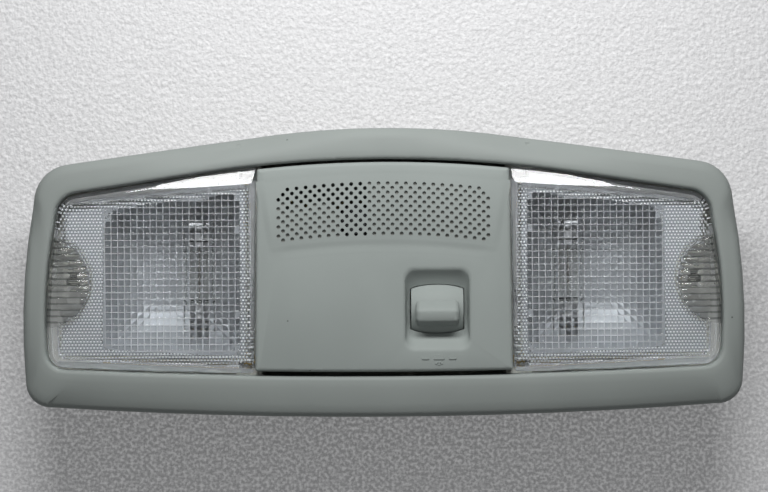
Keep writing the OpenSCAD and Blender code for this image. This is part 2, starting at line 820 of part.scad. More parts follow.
module rear_housing() {
    color(body_white) difference() {
        union() {
            housing_tray();
            back_ribs();
            both_sides() {
                partition();
                hinge_ear(upper_lug_y + 0.5, arch_y(hinge_x) + 1.6);
                hinge_ear(sill_y(hinge_x) - 1.6, lower_lug_y - 0.5);
                post(roof_screw, 0, floor_z + eps, 5);
                post(peg, 0, floor_z + eps, 3);
                clip_tongue(clip_x, clip_y);
                clip_tongue(clip_x, -clip_y);
                snap_catch();
            }
            for (p = bezel_screws) fixing_ear(p);
            for (p = panel_posts) post(p, floor_top - eps, floor_top + 11, 3.2);
            socket_shroud();
            grille_shelf();
            post(mic_at, floor_top - eps, mic_low, 5.2);
            both_sides() block([pusher_x - 4, -3.4, floor_top - 1], [pusher_x + 4, -1.1, bar_top]);
            block([knob_x - 4, -16.5, floor_top - 1], [knob_x + 4, -12, bar_top]);
        }
        both_sides() {
            along_y(
                [hinge_x, lower_lug_y - 3, hinge_z],
                upper_lug_y - lower_lug_y + 6,
                hinge_pin_r + hinge_play
            );
            post(roof_screw, -1, floor_top + 1, roof_screw_r);
            for (y = [21.9, -29])
                block([partition_x - 2, y - 2, floor_top], [partition_x + 2, y + 2, bar_top + 0.6]);
        }
        for (p = bezel_screws) post(p, 20, rim_z, 1.6);
        for (p = panel_posts) {
            post(p, floor_z - 1, floor_top + 12, 1.6);
            post(p, floor_z - 1, floor_z + 5, 3);
        }
        block(
            [socket[0] - socket_in[0] / 2, socket[1] - socket_in[1] / 2, socket_tip_z - 1],
            [socket[0] + socket_in[0] / 2, socket[1] + socket_in[1] / 2, floor_z + 0.6]
        );
        for (x = pin_xs)
            block([x - 0.85, socket[1] - 0.5, floor_z], [x + 0.85, socket[1] + 0.5, floor_top + 1]);
        block([-15, 20.3, floor_top], [37, 23.5, bar_top + 0.6]);
    }
}

// Bus bars: strips laid on the floor, each with a pin down into the socket

module strip(from, to, w = 2.4) {
    half = w / 2;
    block(
        [min(from[0], to[0]) - half, min(from[1], to[1]) - half, floor_top],
        [max(from[0], to[0]) + half, max(from[1], to[1]) + half, bar_top]
    );
}

module route(points, w = 2.4) {
    for (i = [0:len(points) - 2]) strip(points[i], points[i + 1], w);
}

module pin(i) {
    block([pin_xs[i] - 0.8, socket[1] - 0.4, pin_tip_z], [pin_xs[i] + 0.8, socket[1] + 0.4, bar_top]);
}

module supply_bus_bar() {
    color(brass) {
        route([[-bulb_x, 18], [-bulb_x, 21.9], [bulb_x, 21.9], [bulb_x, 18]]);
        route([[pin_xs[0], 21.9], [pin_xs[0], socket[1]]]);
        pin(0);
    }
}

module ground_bus_bar() {
    reach = pusher_x - 7.5;
    color(brass) {
        route([
            [-pusher_x + 3, -5], [-reach, -5], [-reach, -29],
            [reach, -29], [reach, -5], [pusher_x - 3, -5]
        ]);
        route([[pin_xs[4], -29], [pin_xs[4], socket[1]]]);
        pin(4);
    }
}

module door_bus_bar() {
    color(brass) {
        route([[pin_xs[3], socket[1]], [pin_xs[3], -8], [knob_x, -8]]);
        pin(3);
    }
}

module lamp_bus_bar() {
    color(brass) route([[bulb_x, -18], [80, -18], [80, 0.5], [pusher_x - 3, 0.5]]);
}

module microphone_bus_bars() {
    color(brass) {
        route([[pin_xs[1], socket[1]], [pin_xs[1], 18.5], [-16, 18.5]], 1.6);
        route([[pin_xs[2], socket[1]], [pin_xs[2], 14.5], [-16, 14.5]], 1.6);
        pin(1);
        pin(2);
    }
}

// Microphone in its boot, on a pedestal behind the open part of the grille

module microphone() {
    color(steel) post(mic_at, mic_low + 1.2, mic_low + 5.8, 4.7);
}

module microphone_boot() {
    color(black_rubber) difference() {
        post(mic_at, mic_low, mic_low + 7, 5.6);
        post(mic_at, mic_low + 1.2, mic_low + 8, 4.75);
    }
}

module microphone_holder() {
    low = [-33, 10];
    high = [-15.6, 20];
    top = 33;
    t = 1.4;
    color(body_white) {
        block([low[0], low[1], top - t], [high[0], high[1], top]);
        for (i = [0:3])
            block([low[0] + i * 4.9, high[1] - eps, top - t], [low[0] + i * 4.9 + 2.6, high[1] + 2.2, top]);
        block([low[0], low[1], floor_top], [low[0] + t, high[1], top]);
        block([high[0] - t, low[1], bar_top + 0.4], [high[0], high[1], top]);
    }
}

// Screws: a pan head below the joint and a plain shank up into the post

module screw(p, head_top, length) {
    post(p, head_top - 0.5, head_top + length, 1.3);
    difference() {
        post(p, head_top - 1.7, head_top, 2.7);
        for (turn = [0, 90])
            translate([p[0], p[1], head_top - 1.7]) rotate([0, 0, turn]) cube([3, 0.7, 1.6], center = true);
    }
}

module housing_screws() {
    color(steel) for (p = bezel_screws) screw(p, rim_z - 3.5, 7.5);
}

module panel_screws() {
    color(steel) for (p = panel_posts) screw(p, floor_z + 5, 16);
}

// Spring steel clip that wraps a tongue and flares to grip the roof bracket
clip_half = [
    [1.7, 0.8], [1.95, 1.05], [2, 4.4], [4.6, 7.2], [3.9, 8.6],
    [3.5, 8.3], [3.9, 7.3], [1.5, 4.7], [1.35, 1.35]
];
clip_w = 7.6;
module clip(x, y) {
    other_half = [for (i = [len(clip_half) - 1:-1:0]) [-clip_half[i][0], clip_half[i][1]]];
    color(steel) translate([x - clip_w / 2, y, 0]) rotate([90, 0, 90])
        linear_extrude(clip_w) polygon(concat(clip_half, other_half));
}

module left() {
    mirror([1, 0, 0]) children();
}

bezel();
centre_panel();
rear_housing();
left() lens();  // left_lens
lens();  // right_lens
left() reflector();  // left_reflector
reflector();  // right_reflector
left() bulb_glass();  // left_bulb_glass
bulb_glass();  // right_bulb_glass
left() bulb_caps();  // left_bulb_caps
bulb_caps();  // right_bulb_caps
left() bulb_filament();  // left_bulb_filament
bulb_filament();  // right_bulb_filament
left() contact(true);  // left_contact_upper
contact(true);  // right_contact_upper
left() contact(false);  // left_contact_lower
contact(false);  // right_contact_lower
left() push_switch();  // left_push_switch
push_switch();  // right_push_switch
left() plunger();  // left_plunger
plunger();  // right_plunger
door_switch_knob();
door_switch_base();
door_switch_slider();
supply_bus_bar();
ground_bus_bar();
door_bus_bar();
left() lamp_bus_bar();  // left_lamp_bus_bar
lamp_bus_bar();  // right_lamp_bus_bar
microphone_bus_bars();
microphone();
microphone_boot();
microphone_holder();
housing_screws();
panel_screws();
clip(-clip_x, clip_y);  // left_upper_clip
clip(clip_x, clip_y);  // right_upper_clip
clip(-clip_x, -clip_y);  // left_lower_clip
clip(clip_x, -clip_y);  // right_lower_clip
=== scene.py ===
"""Dresses the car's interior light in its finishes and adds its patterned lenses and moulded details.

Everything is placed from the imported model, in metres: X runs along the lamp, Y towards the arched edge and
Z out of the face. Sizes in the classes are in millimetres and become metres through MM, unless the class
says metres. Scales of textures are in cycles to the metre, angles in degrees.
"""

from __future__ import annotations

import logging
import math
from dataclasses import dataclass
from enum import Enum
from typing import Callable, Iterable, Mapping, Sequence, Union

import bmesh
import bpy
import numpy as np
from bpy.types import Material, NodeSocket, Object
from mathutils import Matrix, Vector

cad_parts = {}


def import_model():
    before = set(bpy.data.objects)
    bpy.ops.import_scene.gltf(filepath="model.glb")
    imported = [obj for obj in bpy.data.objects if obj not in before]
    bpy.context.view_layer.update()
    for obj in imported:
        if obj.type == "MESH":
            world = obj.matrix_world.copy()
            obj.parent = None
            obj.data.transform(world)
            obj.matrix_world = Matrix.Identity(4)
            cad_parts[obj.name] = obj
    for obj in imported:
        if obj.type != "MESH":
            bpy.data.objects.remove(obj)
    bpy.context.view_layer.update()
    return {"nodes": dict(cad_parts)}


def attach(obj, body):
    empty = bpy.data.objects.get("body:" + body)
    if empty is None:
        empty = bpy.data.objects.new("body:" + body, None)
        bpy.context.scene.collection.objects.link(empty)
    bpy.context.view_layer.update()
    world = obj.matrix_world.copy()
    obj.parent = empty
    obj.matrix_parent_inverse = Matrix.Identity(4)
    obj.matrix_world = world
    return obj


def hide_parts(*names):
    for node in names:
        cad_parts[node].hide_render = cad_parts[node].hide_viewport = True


log = logging.getLogger("interior_light")
MM = 0.001
SMOOTH_ANGLE = 32.0
WELD_DISTANCE = 1e-7

Array = np.ndarray
Colour = tuple[float, float, float]
Point2 = tuple[float, float]
Point3 = tuple[float, float, float]


class Side(Enum):
    """The two ends of the lamp, as the sign of X."""

    LEFT = -1
    RIGHT = 1

    @property
    def label(self) -> str:
        """The word that the nodes' names start with."""
        return self.name.lower()


class Body(Enum):
    """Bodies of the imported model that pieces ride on."""

    HOUSING = "housing"
    LEFT_LENS = "left_lens"
    RIGHT_LENS = "right_lens"


def srgb(red: int, green: int, blue: int) -> Colour:
    """The linear parts that shaders use, for a screen colour's parts from 0 to 255."""
    parts = [part / 255 for part in (red, green, blue)]
    return tuple(p / 12.92 if p <= 0.04045 else ((p + 0.055) / 1.055) ** 2.4 for p in parts)


def shaded(colour: Colour, factor: float) -> Colour:
    """A colour made darker or lighter by a factor, with no part above 1."""
    return tuple(min(1.0, part * factor) for part in colour)


@dataclass(frozen=True)
class Box:
    """An upright rectangle in the plane of the face."""

    left: float
    low: float
    right: float
    high: float

    def holds(self, x: float, y: float) -> bool:
        """True for a place inside the rectangle."""
        return self.left < x < self.right and self.low < y < self.high

    def corners(self) -> list[Point2]:
        """The corners, counter-clockwise."""
        left, low, right, high = self.left, self.low, self.right, self.high
        return [(left, low), (right, low), (right, high), (left, high)]


# Shader expressions


class Wire:
    """A shader socket that takes part in Python arithmetic."""

    def __init__(self, graph: "Graph", socket: NodeSocket) -> None:
        """Keeps the socket and the graph that new nodes go into."""
        self.graph = graph
        self.socket = socket

    def _maths(self, operation: str, first: "Value", second: "Value") -> "Wire":
        """Adds one Math node over two values."""
        return self.graph.node("ShaderNodeMath", {"operation": operation}, {0: first, 1: second})

    def __add__(self, other: "Value") -> "Wire":
        """self + other."""
        return self._maths("ADD", self, other)

    def __radd__(self, other: "Value") -> "Wire":
        """other + self."""
        return self._maths("ADD", other, self)

    def __sub__(self, other: "Value") -> "Wire":
        """self - other."""
        return self._maths("SUBTRACT", self, other)

    def __rsub__(self, other: "Value") -> "Wire":
        """other - self."""
        return self._maths("SUBTRACT", other, self)

    def __mul__(self, other: "Value") -> "Wire":
        """self * other."""
        return self._maths("MULTIPLY", self, other)

    def __rmul__(self, other: "Value") -> "Wire":
        """other * self."""
        return self._maths("MULTIPLY", other, self)

    def __pow__(self, other: "Value") -> "Wire":
        """self ** other."""
        return self._maths("POWER", self, other)

    def __rpow__(self, other: "Value") -> "Wire":
        """other ** self."""
        return self._maths("POWER", other, self)

    def __abs__(self) -> "Wire":
        """The value without its sign."""
        return self._maths("ABSOLUTE", self, 0.0)

    def above(self, level: float) -> "Wire":
        """1 where the value is above a level, and 0 elsewhere."""
        return self._maths("GREATER_THAN", self, level)

    def below(self, level: float) -> "Wire":
        """1 where the value is below a level, and 0 elsewhere."""
        return self._maths("LESS_THAN", self, level)

    def larger(self, other: "Value") -> "Wire":
        """The larger of two values."""
        return self._maths("MAXIMUM", self, other)

    def whole_part(self) -> "Wire":
        """The whole number at or below the value."""
        return self._maths("FLOOR", self, 0.0)

    def to_whole(self) -> "Wire":
        """Distance to the nearest whole number, from 0 to 0.5."""
        return self._maths("PINGPONG", self, 0.5)


Value = Union[Wire, float, Sequence[float]]
Key = Union[int, str]


class Graph:
    """A new material and the nodes that are added to it."""

    def __init__(self, name: str) -> None:
        """Starts a material with a bare Principled shader.

        Args:
            name: The material's name.
        """
        self.material = bpy.data.materials.new(name)
        self.material.use_nodes = True
        self.tree = self.material.node_tree
        self.shader = next(n for n in self.tree.nodes if n.type == "BSDF_PRINCIPLED")
        self.surface = next(n for n in self.tree.nodes if n.type == "OUTPUT_MATERIAL").inputs["Surface"]

    def node(
        self,
        kind: str,
        settings: Mapping[str, object] | None = None,
        inputs: Mapping[Key, Value] | None = None,
        output: Key = 0,
    ) -> Wire:
        """Adds any node.

        Args:
            kind: The node's type name.
            settings: Attributes, which are set first.
            inputs: Values or wires by socket name or number.
            output: The socket that comes back.

        Returns:
            The chosen output as a wire.
        """
        made = self.tree.nodes.new(kind)
        for key, value in (settings or {}).items():
            setattr(made, key, value)
        for key, value in (inputs or {}).items():
            self.join(made.inputs[key], value)
        return Wire(self, made.outputs[output])

    def join(self, socket: NodeSocket, value: Value) -> None:
        """Links a wire to a socket, or sets the socket's own value.

        Args:
            socket: The input to feed.
            value: A wire, a number, a vector, or a colour, whose missing fourth part becomes 1.
        """
        if isinstance(value, Wire):
            self.tree.links.new(value.socket, socket)
        elif isinstance(value, (int, float)):
            socket.default_value = value
        else:
            socket.default_value = (*value, 1.0) if len(value) < len(socket.default_value) else tuple(value)

    def set(self, **values: Value) -> None:
        """Sets the main shader's sockets; an underscore in a name stands for a space."""
        for key, value in values.items():
            self.join(self.shader.inputs[key.replace("_", " ")], value)

    def siblings(self, wire: Wire, *outputs: Key) -> list[Wire]:
        """Further outputs of the node that a wire comes from."""
        return [Wire(self, wire.socket.node.outputs[key]) for key in outputs]

    def diffuse(self, colour: Colour) -> Wire:
        """A plain matte shader."""
        return self.node("ShaderNodeBsdfDiffuse", inputs={"Color": colour, "Roughness": 0.3})

    def cover(self, share: Value, shader: Wire) -> None:
        """Lays another shader over the present surface, by a share from 0 to 1."""
        present = Wire(self, self.surface.links[0].from_socket)
        self.join(self.surface, self.node("ShaderNodeMixShader", inputs={0: share, 1: present, 2: shader}))

    def place(self) -> Wire:
        """The point being shaded, in metres, in the lamp's frame."""
        return self.node("ShaderNodeTexCoord", output="Object")

    def axes(self) -> list[Wire]:
        """X, Y and Z of the shaded point, in metres."""
        x = self.node("ShaderNodeSeparateXYZ", inputs={0: self.place()})
        return [x, *self.siblings(x, 1, 2)]

    def noise(self, scale: float, detail: float, vector: Wire | None = None) -> Wire:
        """Smooth noise around 0.5, at the shaded point or another vector."""
        inputs = {"Vector": vector or self.place(), "Scale": scale, "Detail": detail}
        return self.node("ShaderNodeTexNoise", inputs=inputs)

    def uneven(self, middle: float, spread: float, noise: Wire) -> Wire:
        """A value that wanders to both sides of its middle with a noise."""
        return middle - spread + noise * (2 * spread)

    def mix(self, factor: Value, first: Value, second: Value) -> Wire:
        """A colour between two colours."""
        return self.node("ShaderNodeMix", {"data_type": "RGBA"}, {0: factor, 6: first, 7: second}, output=2)

    def ramp(self, value: Wire, ends: Point2) -> Wire:
        """0 to 1 as a value goes from one end to the other."""
        return self.node("ShaderNodeMapRange", inputs={0: value, 1: ends[0], 2: ends[1]})

    def bump(self, height: Value, depth: float) -> Wire:
        """A normal bent by a height map whose full step is depth, in millimetres."""
        return self.node("ShaderNodeBump", inputs={"Height": height, "Strength": 1.0, "Distance": depth * MM})


# Finishes


@dataclass(frozen=True)
class MouldedPlastic:
    """Grained opaque plastic, with a slow drift of tone and a few dark specks of grime."""

    name: str
    colour: Colour
    roughness: float = 0.5
    roughness_spread: float = 0.06
    sheen: float = 0.22
    grain: float = 0.02
    grain_scale: float = 1900.0
    coarse_grain: float = 0.4
    drift: float = 0.06
    drift_scale: float = 38.0
    specks: float = 0.0
    speck_scale: float = 130.0
    speck_size: float = 0.045
    speck_tone: float = 0.3
    patch_scale: float = 61.0
    patch_level: float = 0.6

    def build(self) -> Material:
        """Sets up the surface.

        Returns:
            The new material.
        """
        g = Graph(self.name)
        tone = g.noise(self.drift_scale, 3)
        colour = g.mix(tone, shaded(self.colour, 1 - self.drift), shaded(self.colour, 1 + self.drift))
        if self.specks > 0:
            where = {"Vector": g.place(), "Scale": self.speck_scale}
            spots = g.node("ShaderNodeTexVoronoi", {"feature": "F1"}, where, "Distance")
            patches = g.noise(self.patch_scale, 1).above(self.patch_level)
            speck = (self.speck_size - spots).above(0.0) * patches * self.specks
            colour = g.mix(speck, colour, shaded(self.colour, self.speck_tone))
        fine = g.noise(self.grain_scale, 4)
        coarse = g.noise(self.grain_scale * self.coarse_grain, 2)
        g.set(
            Base_Color=colour,
            Roughness=g.uneven(self.roughness, self.roughness_spread, fine),
            Normal=g.bump(fine * (1 - self.coarse_grain) + coarse * self.coarse_grain, self.grain),
            Specular_IOR_Level=self.sheen,
        )
        return g.material


@dataclass(frozen=True)
class Panel:
    """A four-sided area: its ends along X, and upper and lower edges as (level at the near end, slope)."""

    ends: Point2
    top: Point2
    foot: Point2

    def mask(self, out: Wire, y: Wire) -> Wire:
        """Marks the area.

        Args:
            out: Distance from the middle of the lamp, in metres.
            y: Y in metres.

        Returns:
            1 inside the area and 0 outside it.
        """
        near, far = (e * MM for e in self.ends)
        above, below = (y - (out - near) * slope - level * MM for level, slope in (self.top, self.foot))
        return out.above(near) * out.below(far) * above.below(0.0) * below.above(0.0)


@dataclass(frozen=True)
class LensPlan:
    """What the shape and the finish of a lens share, laid out for the right-hand one."""

    pad_centre: Point2 = (108.3, -2.5)
    pad_radius: float = 14.6
    grid_start: Point2 = (41.0, -33.0)
    grid_end: Point2 = (107.0, 34.0)
    pillow_pitch: Point2 = (2.08, 2.08)
    stipple_pitch: Point2 = (1.07, 1.0)
    tilt: float = 0.0245


@dataclass(frozen=True)
class Texture:
    """Where a lens is matte: window grooves, border and finger pad, with painted light low on the pad and
    painted shade between its ribs.
    """

    plan: LensPlan = LensPlan()
    window: Panel = Panel((45.7, 89.6), (25.8, -0.121), (-26.4, 0.05))
    border: Panel = Panel((42.8, 103.4), (26.9, -0.0845), (-29.7, 0.0447))
    back_level: float = 36.4
    groove: float = 0.07
    groove_share: float = 0.34
    spot_reach: float = 0.25
    spot_share: float = 0.82
    margin_share: float = 0.22
    pad_share: float = 0.42
    rib_pitch: float = 1.97
    rib_groove: float = 0.33
    rib_share: float = 0.6

    def shares(self, g: Graph) -> tuple[Wire, Wire, Wire]:
        """Works out how matte the back of the lens is, and the finger pad's grey wear with painted light and
        the painted shade between its ribs.

        Args:
            g: The material that the nodes go into.

        Returns:
            The matte share, the share of the pad's grey wear with its painted light, and the painted shade
            between the ribs, at the shaded point.
        """
        plan = self.plan
        x, y, z = g.axes()
        out = abs(x)
        under_face = (z + out * plan.tilt).below(self.back_level * MM)
        window, border = (panel.mask(out, y) for panel in (self.window, self.border))
        pad_x, pad_y, pad_radius = (v * MM for v in (*plan.pad_centre, plan.pad_radius))
        off_pad = ((out - pad_x) ** 2 + (y - pad_y) ** 2).above(pad_radius**2)
        right, up = (along - start * MM for along, start in zip((out, y), plan.grid_start))
        grooves = [
            (along * (1 / (pitch * MM))).to_whole().below(self.groove)
            for along, pitch in zip((right, up), plan.pillow_pitch)
        ]
        across, down = (1 / (pitch * MM) for pitch in plan.stipple_pitch)
        row = up * down
        column = right * across + row.whole_part() * 0.5
        spots = column.to_whole().above(self.spot_reach) * row.to_whole().above(self.spot_reach)
        around = border * spots * self.spot_share + (1 - border) * self.margin_share
        grid = window * grooves[0].larger(grooves[1]) * self.groove_share
        matte = under_face * (grid + around * (1 - window) * off_pad)
        pad = under_face * (1 - off_pad)
        # Painted light: the pad's grey share grows towards its lower edge, so the pad is painted lighter below
        # and darker above.
        up_pad = y - pad_y
        lit = 1 - up_pad * (0.5 / pad_radius)
        # Painted shade: a dark share in the grooves between the pad's ribs, where shade falls.
        between_ribs = (up_pad * (1 / (self.rib_pitch * MM))).to_whole().above(self.rib_groove)
        return matte, pad * self.pad_share * lit, pad * between_ribs * self.rib_share


@dataclass(frozen=True)
class ClearPlastic:
    """Clear moulded plastic or glass that light passes through, partly matte where it has a texture."""

    name: str
    colour: Colour = (0.97, 0.98, 0.985)
    roughness: float = 0.02
    haze: float = 0.02
    haze_scale: float = 900.0
    haze_tone: float = 0.99
    ior: float = 1.49
    ripple: float = 0.004
    ripple_scale: float = 160.0
    texture: Texture | None = None
    matte: Colour = (0.88, 0.9, 0.92)
    # Grey of the finger pad's wear, laid on with painted light towards its lower edge, and the dark of the
    # painted shade between its ribs.
    worn: Colour = (0.4, 0.41, 0.4)
    dirt: Colour = (0.06, 0.065, 0.06)
    passed_light: float = 0.62

    def build(self) -> Material:
        """Sets up the surface.

        Returns:
            The new material.
        """
        g = Graph(self.name)
        wave = g.noise(self.ripple_scale, 2)
        haze = g.noise(self.haze_scale, 3)
        g.set(
            Base_Color=g.mix(haze, shaded(self.colour, self.haze_tone), self.colour),
            Roughness=self.roughness + haze * self.haze,
            IOR=self.ior,
            Transmission_Weight=1.0,
            Normal=g.bump(wave, self.ripple),
        )
        if self.texture:
            for share, colour in zip(self.texture.shares(g), (self.matte, self.worn, self.dirt)):
                g.cover(share, g.diffuse(colour))
        shadow = g.node("ShaderNodeLightPath", output="Is Shadow Ray")
        through = g.node("ShaderNodeBsdfTransparent", inputs={"Color": self.colour})
        g.cover(shadow * self.passed_light, through)
        return g.material


@dataclass(frozen=True)
class SilveredPlastic:
    """Silver-painted plastic with the faint peel of sprayed paint."""

    name: str
    colour: Colour
    roughness: float = 0.46
    roughness_spread: float = 0.05
    metallic: float = 0.45
    cloud_scale: float = 70.0
    cloud_tone: float = 0.92
    peel: float = 0.02
    peel_scale: float = 520.0

    def build(self) -> Material:
        """Sets up the surface.

        Returns:
            The new material.
        """
        g = Graph(self.name)
        cloud = g.noise(self.cloud_scale, 2)
        g.set(
            Base_Color=g.mix(cloud, shaded(self.colour, self.cloud_tone), self.colour),
            Metallic=self.metallic,
            Roughness=g.uneven(self.roughness, self.roughness_spread, cloud),
            Normal=g.bump(g.noise(self.peel_scale, 3), self.peel),
        )
        return g.material


@dataclass(frozen=True)
class WorkedMetal:
    """Rolled, plated or spring metal with fine lines along one axis."""

    name: str
    colour: Colour
    roughness: float = 0.3
    roughness_spread: float = 0.06
    line_stretch: Point3 = (1.0, 14.0, 14.0)
    line_scale: float = 300.0
    line_depth: float = 0.008
    tarnish: float = 0.2
    stain_scale: float = 110.0

    def build(self) -> Material:
        """Sets up the surface.

        Returns:
            The new material.
        """
        g = Graph(self.name)
        stretched = {0: g.place(), 1: self.line_stretch}
        along = g.node("ShaderNodeVectorMath", {"operation": "MULTIPLY"}, stretched)
        lines = g.noise(self.line_scale, 3, along)
        stain = g.noise(self.stain_scale, 3)
        g.set(
            Base_Color=g.mix(stain, shaded(self.colour, 1 - self.tarnish), self.colour),
            Metallic=1.0,
            Roughness=g.uneven(self.roughness, self.roughness_spread, lines) + stain * self.roughness_spread,
            Normal=g.bump(lines, self.line_depth),
        )
        return g.material


@dataclass(frozen=True)
class PebbledVinyl:
    """Pale floor covering with a fine pebbled, pearly surface and painted light that makes it paler towards
    -Y, at levels in metres.
    """

    name: str
    colour: Colour
    glow: float = 0.12
    glitter: Point2 = (0.6, 1.7)
    glitter_scale: float = 900.0
    glitter_levels: Point2 = (0.42, 0.66)
    # Painted light: between these levels along Y the floor's tone steps up towards -Y.
    fade_levels: Point2 = (-0.08, 0.08)
    fade_tones: Point2 = (1.14, 0.95)
    pebble_depth: float = 0.64
    pebble_scale: float = 620.0
    pebble_shade: float = 0.2
    swell_scale: float = 90.0
    swell_share: float = 0.8
    roughness: float = 0.5
    roughness_spread: float = 0.1
    sheen: float = 0.5

    def build(self) -> Material:
        """Sets up a surface that glows a little where it is seen, also mirrored or through a clear piece.

        Returns:
            The new material.
        """
        g = Graph(self.name)
        black = (0.0, 0.0, 0.0)
        pebbles = g.noise(self.pebble_scale, 3)
        swell = g.noise(self.swell_scale, 2)
        # Painted light: the floor is painted paler towards -Y, where the lamp's shadow and the key light's
        # falloff darken it.
        fade = g.ramp(g.axes()[1], self.fade_levels)
        tone = g.mix(fade, *(shaded(self.colour, factor) for factor in self.fade_tones))
        camera = g.node("ShaderNodeLightPath", output="Is Camera Ray")
        mirrored, through = g.siblings(camera, "Is Glossy Ray", "Is Transmission Ray")
        grains = g.ramp(g.noise(self.glitter_scale, 2), self.glitter_levels)
        glow = g.mix(grains, *([self.glow * level] * 3 for level in self.glitter))
        g.set(
            Emission_Color=g.mix(camera + mirrored + through, black, glow),
            Emission_Strength=1.0,
            Base_Color=g.mix(pebbles, g.mix(self.pebble_shade, tone, black), tone),
            Roughness=g.uneven(self.roughness, self.roughness_spread, pebbles),
            Normal=g.bump(pebbles + swell * self.swell_share, self.pebble_depth),
            Specular_IOR_Level=self.sheen,
        )
        return g.material


Finish = Union[MouldedPlastic, ClearPlastic, SilveredPlastic, WorkedMetal, PebbledVinyl]

TRIM = MouldedPlastic("trim_grained_grey", srgb(150, 157, 154), roughness=0.58, specks=0.8)
# Painted shade: the bezel is the same grained grey plastic as the trim, given a darker copy of its grey as
# painted shade.
SHADED_BEZEL_TRIM = MouldedPlastic("bezel_grained_grey", srgb(144, 150, 147), roughness=0.58, specks=0.8)
HOUSING_PLASTIC = MouldedPlastic("housing_pale_plastic", srgb(205, 205, 198), roughness=0.45, grain=0.008)
SWITCH_PLASTIC = MouldedPlastic("switch_white_plastic", srgb(226, 225, 214), roughness=0.38, grain=0.005)
BLACK_PLASTIC = MouldedPlastic("slider_black_plastic", srgb(32, 32, 34), roughness=0.36, grain=0.006)
RUBBER = MouldedPlastic("boot_black_rubber", srgb(26, 26, 27), roughness=0.78, grain=0.03, grain_scale=900)
# Painted shade: the pale housing seen in the grille's holes, painted a darker grey as the shade inside them.
SHADED_STUB_PLASTIC = MouldedPlastic("shelf_grey_plastic", srgb(134, 135, 131), roughness=0.5, grain=0.008)
LENS_PLASTIC = ClearPlastic("lens_clear_plastic", texture=Texture())
BULB_GLASS = ClearPlastic(
    "bulb_clear_glass", (0.99, 0.99, 0.98), roughness=0.0, ior=1.45, ripple=0.006, passed_light=0.95
)
SILVER = SilveredPlastic("reflector_silver_paint", srgb(154, 158, 162))
BRASS = WorkedMetal("contact_brass_strip", srgb(205, 176, 112), 0.32)
PLATED = WorkedMetal("plated_steel", srgb(196, 197, 198), 0.24, tarnish=0.12)
CAP_METAL = WorkedMetal("cap_dull_plated", srgb(158, 160, 162), 0.5, tarnish=0.12)
SPRING = WorkedMetal("spring_steel_strip", srgb(150, 153, 160), 0.36)
FILAMENT = WorkedMetal("filament_wire", srgb(120, 118, 116), 0.42)
FLOOR = PebbledVinyl("pale_floor", (0.67, 0.67, 0.68))


class Palette:
    """Builds each finish once and hands out its material."""

    def __init__(self) -> None:
        """Starts with no material made."""
        self.made: dict[str, Material] = {}

    def dress(self, obj: Object, finish: Finish) -> None:
        """Gives all of an object one finish, whose material is made on first use.

        Args:
            obj: The object.
            finish: What it is made of.
        """
        if finish.name not in self.made:
            self.made[finish.name] = finish.build()
        obj.data.materials.clear()
        obj.data.materials.append(self.made[finish.name])


# Mesh helpers


def ease(part: Array) -> Array:
    """A smooth step from 0 to 1, level at both ends."""
    part = np.clip(part, 0, 1)
    return part * part * (3 - 2 * part)


def stations(places: Sequence[float], steps: Sequence[int]) -> Array:
    """Lays out places along a line, with a number of equal steps from each given place to the next."""
    marks = np.cumsum([0, *steps])
    return np.interp(np.arange(marks[-1] + 1), marks, places)


def arc(centre: Point2, radius: float, start: float, sweep: float, steps: int) -> list[Point2]:
    """Places points along an arc, one at each end and one after each step between them."""
    angles = [start + sweep * k / steps for k in range(steps + 1)]
    return [(centre[0] + radius * math.cos(a), centre[1] + radius * math.sin(a)) for a in angles]


def rounded_outline(corners: Sequence[Point3], steps: int = 8) -> list[Point2]:
    """Rounds the corners of a polygon.

    Args:
        corners: (x, y, radius) of each corner, counter-clockwise.
        steps: Points on each rounded corner, less one.

    Returns:
        The outline's points in order.
    """
    points: list[Point2] = []
    count = len(corners)
    for i, (x, y, radius) in enumerate(corners):
        at = Vector((x, y))
        back = (Vector(corners[i - 1][:2]) - at).normalized()
        ahead = (Vector(corners[(i + 1) % count][:2]) - at).normalized()
        half = back.angle(ahead) / 2
        centre = at + (back + ahead).normalized() * (radius / math.sin(half))
        first = at + back * (radius / math.tan(half)) - centre
        sweep = math.pi - 2 * half
        points += arc(centre, radius, math.atan2(first.y, first.x), sweep, steps)
    return points


def inside(outline: Sequence[Point2], x: Array, y: Array) -> Array:
    """Tells which points lie in a convex outline.

    Args:
        outline: Its corners, counter-clockwise.
        x, y: The points' places, as equal arrays.

    Returns:
        True at each point inside.
    """
    result = np.ones(x.shape, bool)
    for (ax, ay), (bx, by) in zip(outline, [*outline[1:], outline[0]]):
        result &= (bx - ax) * (y - ay) - (by - ay) * (x - ax) >= 0
    return result


def linked(name: str, data: bpy.types.ID) -> Object:
    """Links a new object of a mesh, a light or a camera to the scene.

    Args:
        name: Its name.
        data: What it shows.

    Returns:
        The new object.
    """
    obj = bpy.data.objects.new(name, data)
    bpy.context.scene.collection.objects.link(obj)
    return obj


def mesh_object(name: str, vertices: Iterable[Sequence[float]], faces: Iterable[Sequence[int]]) -> Object:
    """Makes a mesh object and links it to the scene.

    Args:
        name: Its name.
        vertices: Their places in metres.
        faces: Vertex numbers of each face, counter-clockwise from outside.

    Returns:
        The new object.
    """
    mesh = bpy.data.meshes.new(name)
    mesh.from_pydata([tuple(map(float, v)) for v in vertices], [], [tuple(map(int, f)) for f in faces])
    mesh.validate()
    return linked(name, mesh)


